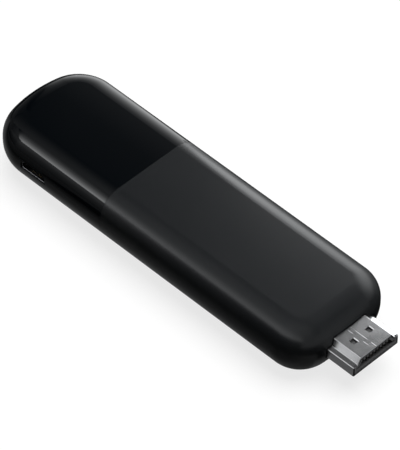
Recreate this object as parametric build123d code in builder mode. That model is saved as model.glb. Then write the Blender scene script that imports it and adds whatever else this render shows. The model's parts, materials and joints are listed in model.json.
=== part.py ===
"""Streaming stick: a slim media player that plugs straight into a television.

All sizes are in millimetres. The row's frame has +X along the stick towards its video plug, +Z up from
the face that it rests on, and its origin below the middle of the whole length. The power port opens
towards -Y, near the rear end.
"""
import os
from math import atan2, degrees, sqrt

from build123d import *

os.makedirs("parts", exist_ok=True)

# Casing: the rounded form that the sleeve and the end cap share
casing_width = 30.0
casing_height = 15.0
front_corner_radius = 8.8
front_end_radius = 105.0
rear_corner_radius = 10.6
rear_end_radius = 31.7
top_edge_radius = 6.1
bottom_edge_radius = 8.1
side_flat = 0.1
casing_wall = 1.4

# Seam between sleeve and end cap, with the cap's lip that enters the sleeve
cap_length = 37.6
sleeve_length = 61.4
seam_gap = 0.04
seam_chamfer = 0.03
lip_clearance = 0.1
lip_thickness = 0.9
lip_reach = 4.0
lip_root = 3.0
lip_board_clearance = 0.5
hook_width = 6.0
hook_length = 1.2
hook_height = 0.5
hook_spacing = 11.0
hook_clearance = 0.2

# Video plug
plug_drop = 6.25
plug_reach = 7.5
plug_shell_length = 14.0
plug_width = 13.9
plug_height = 4.4
plug_ledge_width = 11.36
plug_top_width = 9.46
plug_side_height = 2.7
plug_ledge_rise = 0.18
plug_corner_radius = 0.25
plug_inner_radius = 0.12
plug_sheet = 0.35
plug_bevel = 0.16
plug_clearance = 0.3
fold_seam_width = 0.07
fold_chamfer = 0.07
fold_tab_depth = 1.0
fold_tab_length = 1.35
fold_tab_flare = 0.12
fold_tab_spacing = 4.6
fold_tab_setback = 1.55
window_width = 1.35
window_length = 1.5
window_lip = 0.17
window_lip_depth = 0.14
window_pocket = 0.4
window_spacing = 4.8
window_setback = 4.4
notch_length = 0.45
notch_width = 0.8
insulator_clearance = 0.02
insulator_setback = 0.12
insulator_tail = 1.6
mouth_wall = 0.6
mouth_height = 1.5
mouth_depth = 7.6
mouth_floor = 1.45
comb_width = 0.5
comb_depth = 0.55
comb_lip = 0.4
pit_width = 0.3
pit_depth = 0.3
lower_pit_rise = 0.8
upper_pit_rise = 3.75
contact_pitch = 1.0
lower_contact_count = 10
upper_contact_count = 9
contact_width = 0.3
contact_sheet = 0.16
contact_setback = 0.9
contact_crest = 1.6
contact_rise = 0.55
contact_exit = 0.2
contact_step = 0.4
contact_foot = 1.0
contact_gap = 0.03

# Board, with the lands that carry the other pieces
board_thickness = 1.0
board_clearance = 0.6
board_notch_clearance = 0.2
board_ear_length = 0.8
solder_gap = 0.02

# Power receptacle, sunk in a notch of the board
port_distance = 16.4
receptacle_width = 7.0
receptacle_top_width = 5.3
receptacle_height = 1.8
receptacle_side_height = 1.2
receptacle_sheet = 0.25
receptacle_depth = 5.6
receptacle_sink = 0.95
receptacle_setback = 0.3
receptacle_corner_radius = 0.3
receptacle_inner_radius = 0.15
receptacle_bevel = 0.06
wing_width = 1.3
wing_setback = 2.0
wing_length = 3.4
port_clearance = 0.08
port_bevel = 0.06
tongue_width = 3.8
tongue_thickness = 0.6
tongue_length = 3.2
tongue_root = 1.2
tongue_clearance = 0.02
power_contact_pitch = 0.65
power_contact_count = 5
power_contact_width = 0.35
power_contact_sheet = 0.12

# Board carrier and its screws
carrier_clearance = 0.2
carrier_wall = 1.2
post_diameter = 3.6
screw_diameter = 1.4
screw_head_diameter = 2.5
screw_head_height = 0.8
screw_length = 4.5
screw_head_rounding = 0.25
screw_slot = 0.35
screw_slot_length = 1.5
screw_clearance = 0.1
thread_clearance = 0.02
front_screw_distance = 11.0
front_screw_spacing = 20.0
rear_screw_distance = 4.4
rear_screw_spacing = 10.5

# Chips, shields and heat path
memory_length = 9.0
memory_width = 10.6
storage_length = 11.5
storage_width = 13.0
chip_height = 0.9
power_chip_size = 5.0
power_chip_height = 0.8
processor_size = 14.0
processor_height = 1.1
chip_chamfer = 0.2
chip_gap = 1.2
shield_end_margin = 1.5
shield_side_margin = 3.2
shield_sheet = 0.2
shield_rim = 1.0
shield_lip_clearance = 0.5
upper_shield_height = 1.5
lower_shield_height = 1.7
lower_shield_margin = 4.0
lid_clearance = 0.03
lid_skirt = 0.7
pad_margin = 0.5
spreader_pad = 0.5
upper_spreader_margin = 0.2
upper_spreader_length = 46.0
upper_spreader_width = 19.0
lower_spreader_length = 52.0
lower_spreader_plate = 1.2
lower_spreader_margin = 1.0
spreader_foot_length = 44.0
spreader_foot_width = 11.0
spreader_foot_clearance = 0.2
spreader_gap = 0.05
pedestal_margin = 2.0

# Other pieces on the board
wireless_length = 12.0
wireless_width = 13.0
wireless_board = 0.5
wireless_height = 1.9
wireless_distance = 29.8
wireless_can_margin = 0.5
inductor_size = 4.0
inductor_height = 2.0
inductor_corner_radius = 0.5
inductor_pitch = 5.0
inductor_offset = -3.0
inductor_count = 3
crystal_length = 3.2
crystal_width = 2.5
crystal_height = 0.8
crystal_spacing = 6.0
capacitor_length = 1.6
capacitor_width = 0.8
capacitor_offset = 2.0
capacitor_columns = 3
capacitor_rows = 4
resistor_length = 1.0
resistor_width = 0.5
resistor_height = 0.35
resistor_offset = 4.0
resistor_columns = 2
resistor_rows = 6
reservoir_length = 3.5
reservoir_width = 2.8
reservoir_height = 1.9
reservoir_spacing = 6.0
filter_length = 2.0
filter_width = 1.25
filter_height = 0.9
filter_pitch = 2.4
filter_count = 4
filter_setback = 1.6
antenna_sheet = 0.25
antenna_length = 8.0
antenna_height = 2.9
antenna_top = 2.4
antenna_foot = 1.2
antenna_distance = 9.6
antenna_spacing = 13.0
bracket_sheet = 0.4
bracket_length = 2.6
bracket_foot = 1.9
bracket_setback = 0.3

# Places that follow from the sizes above
casing_length = cap_length + sleeve_length
rear_x = -(casing_length + plug_reach) / 2
front_x = rear_x + casing_length
tip_x = front_x + plug_reach
seam_x = rear_x + cap_length
half_width = casing_width / 2
plug_level = casing_height - plug_drop
plug_bottom = plug_level - plug_height / 2
plug_top = plug_level + plug_height / 2
plug_rear_x = tip_x - plug_shell_length
insulator_rear_x = plug_rear_x - insulator_tail
insulator_front_x = tip_x - insulator_setback
mouth_bottom = plug_bottom + mouth_floor
mouth_top = mouth_bottom + mouth_height
board_bottom = plug_level - board_thickness / 2
board_top = plug_level + board_thickness / 2
board_inset = casing_wall + board_clearance
board_notch_x = insulator_rear_x - contact_exit / 2
lip_inset = casing_wall + lip_clearance
lip_bore_inset = lip_inset + lip_thickness
lip_base = board_top + lip_board_clearance
hook_x = seam_x + lip_reach - hook_length
carrier_inset = casing_wall + carrier_clearance
carrier_floor = carrier_inset + carrier_wall
port_x = rear_x + port_distance
port_face = -half_width + receptacle_setback
port_back = port_face + receptacle_depth
plug_notch = plug_width / 2 + board_notch_clearance
receptacle_bottom = board_bottom - receptacle_sink
port_floor = receptacle_bottom + receptacle_sheet
tongue_bottom = port_floor + (receptacle_height - tongue_thickness) / 2
upper_shield_length = memory_length + storage_length + power_chip_size + 2 * (chip_gap + shield_end_margin)
lower_shield_length = processor_size + 2 * lower_shield_margin
shield_width = processor_size + 2 * shield_side_margin
shield_start_x = seam_x + lip_reach + shield_lip_clearance
shield_x = shield_start_x + upper_shield_length / 2
memory_x = shield_start_x + shield_end_margin + memory_length / 2
storage_x = memory_x + (memory_length + storage_length) / 2 + chip_gap
power_chip_x = storage_x + (storage_length + power_chip_size) / 2 + chip_gap
upper_lid_bottom = board_top + upper_shield_height
upper_spreader_bottom = upper_lid_bottom + shield_sheet + spreader_pad
lower_lid_top = board_bottom - lower_shield_height
lower_spreader_top = lower_lid_top - shield_sheet - spreader_pad
screw_places = [(front_x - front_screw_distance, side * front_screw_spacing / 2) for side in (-1, 1)]
screw_places += [(rear_x + rear_screw_distance, side * rear_screw_spacing / 2) for side in (-1, 1)]


def block(low, high, mode=Mode.ADD):
    """Add or cut a rectangular block between two opposite corners."""
    middle = tuple((a + b) / 2 for a, b in zip(low, high))
    with Locations(middle):
        Box(*(b - a for a, b in zip(low, high)), mode=mode)


def end_arcs(end_x, way, corner_radius, end_radius, inset):
    """Draw one rounded end of the plan outline and return the x of its corners' centres."""
    corner_y = half_width - corner_radius
    centre_x = end_x - way * end_radius
    corner_x = centre_x + way * sqrt((end_radius - corner_radius) ** 2 - corner_y**2)
    meet = degrees(atan2(corner_y, abs(corner_x - centre_x)))
    middle = 0 if way > 0 else 180
    CenterArc((centre_x, 0), end_radius - inset, middle - meet, 2 * meet)
    for side in (-1, 1):
        start = middle + meet if side * way > 0 else middle - 90
        CenterArc((corner_x, side * corner_y), corner_radius - inset, start, 90 - meet)
    return corner_x


def plan_outline(inset):
    """Return the casing's plan outline, drawn in evenly by an inset, as a flat face."""
    with BuildSketch() as outline:
        with BuildLine():
            front = end_arcs(front_x, 1, front_corner_radius, front_end_radius, inset)
            rear = end_arcs(rear_x, -1, rear_corner_radius, rear_end_radius, inset)
            for side in (-1, 1):
                Line((rear, side * (half_width - inset)), (front, side * (half_width - inset)))
        make_face()
    return outline.sketch


def casing_form(inset):
    """Return the casing's rounded form, drawn in evenly on every side by an inset."""
    share = min(1, (casing_height - side_flat) / (top_edge_radius + bottom_edge_radius))
    corner_limit = min(front_corner_radius, rear_corner_radius) - side_flat
    top_radius = min(top_edge_radius * share, corner_limit)
    bottom_radius = min(bottom_edge_radius * share, corner_limit)
    with BuildPart() as form:
        with BuildSketch(Plane.XY.offset(inset)):
            add(plan_outline(inset))
        extrude(amount=casing_height - 2 * inset)
        fillet(form.faces().sort_by(Axis.Z)[-1].edges(), top_radius - inset)
        fillet(form.faces().sort_by(Axis.Z)[0].edges(), bottom_radius - inset)
    return form.part


def plug_section(inset, radius):
    """Return the plug's section, drawn in by an inset, with its corners rounded."""
    side = plug_bottom + plug_side_height
    ledge = side + plug_ledge_rise
    right = [(plug_width / 2, plug_bottom), (plug_width / 2, side), (plug_ledge_width / 2, ledge)]
    right.append((plug_top_width / 2, plug_top))
    left = [(-y, z) for y, z in reversed(right)]
    with BuildSketch() as section:
        with BuildLine():
            Polyline(*right, *left, close=True)
        make_face()
        if inset:
            offset(amount=-inset, kind=Kind.INTERSECTION, mode=Mode.REPLACE)
        fillet(section.vertices(), radius)
    return section.sketch


def port_section(margin, radius):
    """Return the power port's opening, widened by a margin, with its corners rounded."""
    wide = receptacle_width / 2
    narrow = receptacle_top_width / 2
    side = port_floor + receptacle_side_height
    top = port_floor + receptacle_height
    right = [(wide, port_floor), (wide, side), (narrow, top)]
    left = [(-x, z) for x, z in reversed(right)]
    with BuildSketch() as section:
        with BuildLine():
            Polyline(*((port_x + x, z) for x, z in right + left), close=True)
        make_face()
        if margin:
            offset(amount=margin, kind=Kind.INTERSECTION, mode=Mode.REPLACE)
        fillet(section.vertices(), radius)
    return section.sketch


def contact_strip(points, width, sheet, plane=Plane.XZ):
    """Return one bent contact strip, centred on its plane, along the points of its middle line."""
    with BuildPart() as strip:
        with BuildSketch(plane):
            with BuildLine():
                Polyline(*points)
            trace(line_width=sheet)
        extrude(amount=width / 2, both=True)
    return strip.part


def plug_contact(way, channel, land):
    """Return a plug contact: way is +1 above its channel, -1 below it, and land is the board's face."""
    run = channel + way * (contact_gap + contact_sheet / 2)
    foot = land - way * (solder_gap + contact_sheet / 2)
    front = insulator_front_x - contact_setback
    exit_x = insulator_rear_x - contact_exit
    points = [(front, run + way * contact_rise / 2), (front - contact_crest, run + way * contact_rise)]
    points += [(front - 2 * contact_crest, run), (exit_x, run)]
    points += [(exit_x - contact_step, foot), (exit_x - contact_step - contact_foot, foot)]
    return contact_strip(points, contact_width, contact_sheet)


def shield_frame(length, base, height, way):
    """Return an open shield frame with a narrow rim, rising the given way from a face of the board."""
    with BuildPart() as frame:
        with BuildSketch(Plane.XY.offset(base)):
            with Locations((shield_x, 0)):
                Rectangle(length, shield_width)
        extrude(amount=way * height)
        with BuildSketch(Plane.XY.offset(base)):
            with Locations((shield_x, 0)):
                Rectangle(length - 2 * shield_sheet, shield_width - 2 * shield_sheet)
        extrude(amount=way * (height - shield_sheet), mode=Mode.SUBTRACT)
        with BuildSketch(Plane.XY.offset(base)):
            with Locations((shield_x, 0)):
                Rectangle(length - 2 * shield_rim, shield_width - 2 * shield_rim)
        extrude(amount=way * height, mode=Mode.SUBTRACT)
    return frame.part


def shield_lid(length, level, way):
    """Return a shallow lid with skirts that grip a shield frame whose rim ends at a level."""
    grip = 2 * (lid_clearance + shield_sheet)
    with BuildPart() as lid:
        with BuildSketch(Plane.XY.offset(level + way * shield_sheet)):
            with Locations((shield_x, 0)):
                RectangleRounded(length + grip, shield_width + grip, 2 * shield_sheet)
        extrude(amount=-way * (lid_skirt + shield_sheet))
        with BuildSketch(Plane.XY.offset(level)):
            with Locations((shield_x, 0)):
                Rectangle(length + 2 * lid_clearance, shield_width + 2 * lid_clearance)
        extrude(amount=-way * lid_skirt, mode=Mode.SUBTRACT)
    return lid.part


outer_form = casing_form(0)
cavity_form = casing_form(casing_wall)
lip_bore_form = casing_form(lip_bore_inset)
carrier_form = casing_form(carrier_inset)


def lip_stretch(inset, start, end):
    """Return the stretch of the cap's lip between two places along X, as thick as its inset leaves it."""
    with BuildPart() as stretch:
        add(casing_form(inset))
        add(lip_bore_form, mode=Mode.SUBTRACT)
        block((start, -half_width, lip_base), (end, half_width, casing_height), Mode.INTERSECT)
    return stretch.part


def hook():
    """Return one snap hook of the lip: a catch that faces the cap, with a ramp towards the lip's tip."""
    low = casing_height - lip_inset - lip_thickness / 2
    lip_top = casing_height - lip_inset
    top = lip_top + hook_height
    ramp_x = hook_x + hook_length / 3
    with BuildPart() as catch:
        with BuildSketch(Plane.XZ):
            Polygon((hook_x, low), (hook_x, top), (ramp_x, top), (hook_x + hook_length, lip_top),
                    (hook_x + hook_length, low), align=None)
        extrude(amount=hook_width / 2, both=True)
    return catch.part


# Casing: a sleeve with the plug's aperture, and an end cap with its lip and the port

lip = lip_stretch(lip_inset, seam_x - lip_root / 2, seam_x + lip_reach)
lip_base_ring = lip_stretch(casing_wall - lip_clearance, seam_x - lip_root, seam_x - seam_gap / 2)
lip_hook = hook()
hook_rows = GridLocations(1, hook_spacing, 1, 2)

with BuildPart() as main_sleeve:
    add(outer_form)
    split(bisect_by=Plane.YZ.offset(seam_x + seam_gap / 2), keep=Keep.TOP)
    chamfer(main_sleeve.faces().sort_by(Axis.X)[0].edges(), seam_chamfer)
    add(cavity_form, mode=Mode.SUBTRACT)
    with BuildSketch(Plane.YZ.offset(plug_rear_x)):
        add(plug_section(-plug_clearance, plug_corner_radius + plug_clearance))
    extrude(amount=plug_shell_length, mode=Mode.SUBTRACT)
    with hook_rows:
        pocket_width = hook_width / 2 + hook_clearance
        pocket_base = casing_height - casing_wall - hook_height
        pocket_top = casing_height - lip_inset + hook_height + lip_clearance
        block((hook_x - hook_clearance, -pocket_width, pocket_base),
              (hook_x + hook_length + hook_clearance, pocket_width, pocket_top), Mode.SUBTRACT)
main_sleeve.part.label = "main_sleeve"
export_step(main_sleeve.part, "parts/main_sleeve.step")

with BuildPart() as end_cap:
    add(outer_form)
    split(bisect_by=Plane.YZ.offset(seam_x - seam_gap / 2), keep=Keep.BOTTOM)
    chamfer(end_cap.faces().sort_by(Axis.X)[-1].edges(), seam_chamfer)
    add(cavity_form, mode=Mode.SUBTRACT)
    add(lip_base_ring)
    add(lip)
    with hook_rows:
        add(lip_hook)
    with BuildSketch(Plane.XZ.offset(half_width)):
        add(port_section(receptacle_sheet + port_clearance, receptacle_corner_radius))
    extrude(amount=-2 * casing_wall, mode=Mode.SUBTRACT)
    port_rim = end_cap.edges().filter_by_position(Axis.Y, -half_width, -half_width + 2 * port_bevel)
    port_rim = port_rim.filter_by_position(Axis.X, port_x - receptacle_width, port_x + receptacle_width)
    chamfer(port_rim, port_bevel)
end_cap.part.label = "end_cap"
export_step(end_cap.part, "parts/end_cap.step")

# Video plug: a folded shell, its moulding, two rows of contacts and the bracket that anchors it

fold_seam = [(tip_x, 0)]
for setback in (fold_tab_setback, fold_tab_setback + fold_tab_spacing):
    near = tip_x - setback
    far = near - fold_tab_length
    fold_seam += [(near, 0), (near + fold_tab_flare, -fold_tab_depth)]
    fold_seam += [(far - fold_tab_flare, -fold_tab_depth), (far, 0)]
fold_seam += [(plug_rear_x, 0)]

with BuildPart() as plug_shell:
    with BuildSketch(Plane.YZ.offset(plug_rear_x)):
        add(plug_section(0, plug_corner_radius))
        add(plug_section(plug_sheet, plug_inner_radius), mode=Mode.SUBTRACT)
    extrude(amount=plug_shell_length)
    chamfer(plug_shell.faces().sort_by(Axis.X)[-1].outer_wire().edges(), plug_bevel)
    with BuildSketch(Plane.XY.offset(plug_top - 2 * plug_sheet)):
        with BuildLine():
            Polyline(*fold_seam)
        trace(line_width=fold_seam_width)
    extrude(amount=3 * plug_sheet, mode=Mode.SUBTRACT)
    far_leaf = plug_shell.faces().filter_by_position(Axis.Z, plug_top, plug_top).sort_by(Axis.Y)[-1]
    chamfer(far_leaf.edges().filter_by_position(Axis.Y, -fold_tab_depth, fold_seam_width), fold_chamfer)
    with Locations((tip_x - window_setback, 0, plug_level)):
        with GridLocations(1, window_spacing, 1, 2):
            Box(window_length, window_width, 2 * plug_height, mode=Mode.SUBTRACT)
    with BuildSketch(Plane.YZ.offset(tip_x - window_setback - window_length / 2)):
        with Locations((-window_spacing / 2, plug_top), (window_spacing / 2, plug_top)):
            Polygon((0, -window_lip_depth), (window_width / 2, -window_lip_depth),
                    (window_width / 2 + 2 * window_lip, window_lip_depth), (0, window_lip_depth), align=None)
    extrude(amount=window_length, mode=Mode.SUBTRACT)
    for side in (-1, 1):
        middle = side * (plug_width + plug_ledge_width) / 4
        low = (tip_x - notch_length, middle - notch_width / 2, plug_bottom + plug_side_height - plug_sheet)
        block(low, (tip_x + plug_sheet, middle + notch_width / 2, plug_top), Mode.SUBTRACT)
plug_shell.part.label = "plug_shell"
export_step(plug_shell.part, "parts/plug_shell.step")

with BuildPart() as plug_insulator:
    with BuildSketch(Plane.YZ.offset(insulator_rear_x)):
        add(plug_section(plug_sheet + insulator_clearance, plug_inner_radius))
    extrude(amount=insulator_front_x - insulator_rear_x)
    with BuildSketch(Plane.YZ.offset(insulator_front_x)):
        add(plug_section(plug_sheet + insulator_clearance + mouth_wall, plug_inner_radius))
        with Locations((0, (mouth_bottom + mouth_top) / 2)):
            Rectangle(plug_width, mouth_height, mode=Mode.INTERSECT)
    extrude(amount=-mouth_depth, mode=Mode.SUBTRACT)
    with Locations(((insulator_front_x + insulator_rear_x) / 2, 0, mouth_top)):
        with GridLocations(1, contact_pitch, 1, upper_contact_count):
            Box(plug_shell_length + plug_reach, comb_width, 2 * comb_depth, mode=Mode.SUBTRACT)
    with GridLocations(1, contact_pitch, 1, lower_contact_count):
        block((insulator_rear_x - contact_exit, -comb_width / 2, mouth_bottom - comb_depth),
              (insulator_front_x - comb_lip, comb_width / 2, mouth_bottom + comb_depth), Mode.SUBTRACT)
    for count, rise in ((lower_contact_count, lower_pit_rise), (upper_contact_count, upper_pit_rise)):
        with Locations((insulator_front_x, 0, plug_bottom + rise)):
            with GridLocations(1, contact_pitch, 1, count):
                Box(2 * pit_depth, pit_width, pit_width, mode=Mode.SUBTRACT)
    with Locations((tip_x - window_setback, 0, plug_top - plug_sheet)):
        with GridLocations(1, window_spacing, 1, 2):
            Box(window_length, window_width, 2 * window_pocket, mode=Mode.SUBTRACT)
plug_insulator.part.label = "plug_insulator"
export_step(plug_insulator.part, "parts/plug_insulator.step")

lower_contact = plug_contact(1, mouth_bottom - comb_depth, board_bottom)
upper_contact = plug_contact(-1, mouth_top + comb_depth, board_top)

with BuildPart() as plug_lower_contacts:
    with GridLocations(1, contact_pitch, 1, lower_contact_count):
        add(lower_contact)
plug_lower_contacts.part.label = "plug_lower_contacts"
export_step(plug_lower_contacts.part, "parts/plug_lower_contacts.step")

with BuildPart() as plug_upper_contacts:
    with GridLocations(1, contact_pitch, 1, upper_contact_count):
        add(upper_contact)
plug_upper_contacts.part.label = "plug_upper_contacts"
export_step(plug_upper_contacts.part, "parts/plug_upper_contacts.step")

bracket_x = plug_rear_x + bracket_setback + bracket_length / 2
bracket_top = plug_top + solder_gap + bracket_sheet / 2
bracket_foot_level = board_top + solder_gap + bracket_sheet / 2
bracket_leg = plug_width / 2 + solder_gap + bracket_sheet / 2
bracket_path = [(bracket_leg + bracket_foot, bracket_foot_level), (bracket_leg, bracket_foot_level)]
bracket_path += [(bracket_leg, bracket_top)]
bracket_path += [(-y, z) for y, z in reversed(bracket_path)]

with BuildPart() as plug_bracket:
    add(contact_strip(bracket_path, bracket_length, bracket_sheet, Plane.YZ.offset(bracket_x)))
plug_bracket.part.label = "plug_bracket"
export_step(plug_bracket.part, "parts/plug_bracket.step")

# Power receptacle: a sunk shell with wings, its tongue and its contacts

with BuildPart() as receptacle_shell:
    with BuildSketch(Plane.XZ.offset(-port_face)):
        add(port_section(receptacle_sheet, receptacle_corner_radius))
    extrude(amount=-receptacle_depth)
    for side in (-1, 1):
        outer = port_x + side * (receptacle_width / 2 + receptacle_sheet + board_notch_clearance + wing_width)
        inner = port_x + side * receptacle_top_width / 2
        low = (min(outer, inner), port_face + wing_setback, board_top + solder_gap)
        high = (max(outer, inner), port_face + wing_setback + wing_length, low[2] + receptacle_sheet)
        block(low, high)
    with BuildSketch(Plane.XZ.offset(-port_face)):
        add(port_section(0, receptacle_inner_radius))
    extrude(amount=-receptacle_depth, mode=Mode.SUBTRACT)
    chamfer(receptacle_shell.faces().sort_by(Axis.Y)[0].inner_wires()[0].edges(), receptacle_bevel)
receptacle_shell.part.label = "receptacle_shell"
export_step(receptacle_shell.part, "parts/receptacle_shell.step")

tongue_front = port_back - tongue_root - tongue_length
power_channel = power_contact_sheet + solder_gap

with BuildPart() as receptacle_tongue:
    with BuildSketch(Plane.XZ.offset(-port_back)):
        add(port_section(-tongue_clearance, receptacle_inner_radius))
    extrude(amount=tongue_root)
    block((port_x - tongue_width / 2, tongue_front, tongue_bottom),
          (port_x + tongue_width / 2, port_back - tongue_root / 2, tongue_bottom + tongue_thickness))
    with Locations((port_x, port_back, tongue_bottom - power_channel / 2)):
        with GridLocations(power_contact_pitch, 1, power_contact_count, 1):
            Box(power_contact_width + solder_gap, 4 * tongue_root, power_channel, mode=Mode.SUBTRACT)
receptacle_tongue.part.label = "receptacle_tongue"
export_step(receptacle_tongue.part, "parts/receptacle_tongue.step")

power_run = tongue_bottom - power_channel / 2
power_foot = board_top + solder_gap + power_contact_sheet / 2
power_path = [(tongue_front + contact_gap, power_run), (port_back + contact_exit / 2, power_run)]
power_path += [(port_back + contact_exit / 2, power_foot), (port_back + contact_foot, power_foot)]
power_contact = contact_strip(power_path, power_contact_width, power_contact_sheet, Plane.YZ)

with BuildPart() as receptacle_contacts:
    with Locations((port_x, 0, 0)):
        with GridLocations(power_contact_pitch, 1, power_contact_count, 1):
            add(power_contact)
receptacle_contacts.part.label = "receptacle_contacts"
export_step(receptacle_contacts.part, "parts/receptacle_contacts.step")

# Board, its carrier and the screws between them

receptacle_reach = receptacle_width / 2 + receptacle_sheet + board_notch_clearance
ear_end = plug_rear_x + bracket_setback + bracket_length + board_ear_length

with BuildPart() as main_board:
    with BuildSketch(Plane.XY.offset(board_bottom)):
        add(plan_outline(board_inset))
    extrude(amount=board_thickness)
    block((ear_end, -half_width, 0), (tip_x, half_width, casing_height), Mode.SUBTRACT)
    block((board_notch_x, -plug_notch, 0), (tip_x, plug_notch, casing_height), Mode.SUBTRACT)
    block((port_x - receptacle_reach, -half_width, 0),
          (port_x + receptacle_reach, port_back + contact_exit, casing_height), Mode.SUBTRACT)
    with Locations(*((x, y, board_top) for x, y in screw_places)):
        Hole(radius=screw_diameter / 2 + screw_clearance, depth=board_thickness)
main_board.part.label = "main_board"
export_step(main_board.part, "parts/main_board.step")

with BuildPart() as posts:
    with Locations(*((x, y, board_bottom) for x, y in screw_places)):
        Cylinder(post_diameter / 2, board_bottom, align=(Align.CENTER, Align.CENTER, Align.MAX))
    add(carrier_form, mode=Mode.INTERSECT)

with BuildPart() as board_carrier:
    add(carrier_form)
    add(casing_form(carrier_floor), mode=Mode.SUBTRACT)
    block((rear_x, -half_width, 0), (front_x, half_width, board_bottom), Mode.INTERSECT)
    add(posts.part)
    reach_x = spreader_foot_length / 2 + spreader_foot_clearance
    reach_y = spreader_foot_width / 2 + spreader_foot_clearance
    block((shield_x - reach_x, -reach_y, 0), (shield_x + reach_x, reach_y, carrier_floor), Mode.SUBTRACT)
    block((insulator_rear_x, -plug_notch, plug_bottom - board_notch_clearance),
          (tip_x, plug_notch, casing_height), Mode.SUBTRACT)
    block((port_x - receptacle_reach, -half_width, receptacle_bottom - board_notch_clearance),
          (port_x + receptacle_reach, port_back + contact_exit, casing_height), Mode.SUBTRACT)
    with Locations(*((x, y, board_bottom) for x, y in screw_places)):
        Hole(radius=screw_diameter / 2 + thread_clearance, depth=screw_length)
board_carrier.part.label = "board_carrier"
export_step(board_carrier.part, "parts/board_carrier.step")

with BuildPart() as screw:
    Cylinder(screw_head_diameter / 2, screw_head_height, align=(Align.CENTER, Align.CENTER, Align.MIN))
    fillet(screw.faces().sort_by(Axis.Z)[-1].edges(), screw_head_rounding)
    Cylinder(screw_diameter / 2, screw_length, align=(Align.CENTER, Align.CENTER, Align.MAX))
    with Locations((0, 0, screw_head_height)):
        for turn in (0, 90):
            Box(screw_slot_length, screw_slot, screw_head_height, rotation=(0, 0, turn), mode=Mode.SUBTRACT)

with BuildPart() as carrier_screws:
    with Locations(*((x, y, board_top) for x, y in screw_places)):
        add(screw.part)
carrier_screws.part.label = "carrier_screws"
export_step(carrier_screws.part, "parts/carrier_screws.step")

# Chips on the board's faces, and the pads that lead their heat to the lids


def on_board(length, width, height, x, way=1, y=0):
    """Add a block that stands on the board's upper face, or hangs from its lower one when way is -1."""
    face = board_top if way > 0 else board_bottom
    with Locations((x, y, face + way * height / 2)):
        Box(length, width, height)


with BuildPart() as main_processor:
    on_board(processor_size, processor_size, processor_height, shield_x, -1)
    chamfer(main_processor.edges().filter_by(Axis.Z), chip_chamfer)
main_processor.part.label = "main_processor"
export_step(main_processor.part, "parts/main_processor.step")

with BuildPart() as memory_chip:
    on_board(memory_length, memory_width, chip_height, memory_x)
    chamfer(memory_chip.edges().filter_by(Axis.Z), chip_chamfer)
memory_chip.part.label = "memory_chip"
export_step(memory_chip.part, "parts/memory_chip.step")

with BuildPart() as storage_chip:
    on_board(storage_length, storage_width, chip_height, storage_x)
    chamfer(storage_chip.edges().filter_by(Axis.Z), chip_chamfer)
storage_chip.part.label = "storage_chip"
export_step(storage_chip.part, "parts/storage_chip.step")

with BuildPart() as power_chip:
    on_board(power_chip_size, power_chip_size, power_chip_height, power_chip_x)
    chamfer(power_chip.edges().filter_by(Axis.Z), chip_chamfer)
power_chip.part.label = "power_chip"
export_step(power_chip.part, "parts/power_chip.step")

chip_top = board_top + chip_height
processor_face = board_bottom - processor_height

with BuildPart() as upper_thermal_pads:
    chips = [(memory_x, memory_length, memory_width), (storage_x, storage_length, storage_width)]
    for x, length, width in chips:
        reach_x = length / 2 - pad_margin
        reach_y = width / 2 - pad_margin
        block((x - reach_x, -reach_y, chip_top), (x + reach_x, reach_y, upper_lid_bottom))
    reach_x = upper_shield_length / 2 - pad_margin
    reach_y = upper_spreader_width / 2 - pad_margin
    block((shield_x - reach_x, -reach_y, upper_lid_bottom + shield_sheet),
          (shield_x + reach_x, reach_y, upper_spreader_bottom))
upper_thermal_pads.part.label = "upper_thermal_pads"
export_step(upper_thermal_pads.part, "parts/upper_thermal_pads.step")

with BuildPart() as lower_thermal_pads:
    reach = processor_size / 2 - pad_margin
    low_x = shield_x - reach
    high_x = shield_x + reach
    block((low_x, -reach, lower_lid_top), (high_x, reach, processor_face))
    block((low_x, -reach, lower_spreader_top), (high_x, reach, lower_lid_top - shield_sheet))
lower_thermal_pads.part.label = "lower_thermal_pads"
export_step(lower_thermal_pads.part, "parts/lower_thermal_pads.step")

# Shields over the chips, and the spreaders that take their heat to the casing

with BuildPart() as upper_shield_frame:
    add(shield_frame(upper_shield_length, board_top, upper_shield_height, 1))
upper_shield_frame.part.label = "upper_shield_frame"
export_step(upper_shield_frame.part, "parts/upper_shield_frame.step")

with BuildPart() as upper_shield_lid:
    add(shield_lid(upper_shield_length, upper_lid_bottom, 1))
upper_shield_lid.part.label = "upper_shield_lid"
export_step(upper_shield_lid.part, "parts/upper_shield_lid.step")

with BuildPart() as lower_shield_frame:
    add(shield_frame(lower_shield_length, board_bottom, lower_shield_height, -1))
lower_shield_frame.part.label = "lower_shield_frame"
export_step(lower_shield_frame.part, "parts/lower_shield_frame.step")

with BuildPart() as lower_shield_lid:
    add(shield_lid(lower_shield_length, lower_lid_top, -1))
lower_shield_lid.part.label = "lower_shield_lid"
export_step(lower_shield_lid.part, "parts/lower_shield_lid.step")

with BuildPart() as upper_heat_spreader:
    add(casing_form(lip_bore_inset + upper_spreader_margin))
    half_length = upper_spreader_length / 2
    block((shield_x - half_length, -upper_spreader_width / 2, upper_spreader_bottom),
          (shield_x + half_length, upper_spreader_width / 2, casing_height), Mode.INTERSECT)
upper_heat_spreader.part.label = "upper_heat_spreader"
export_step(upper_heat_spreader.part, "parts/upper_heat_spreader.step")

plate_top = carrier_floor + lower_spreader_plate

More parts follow.
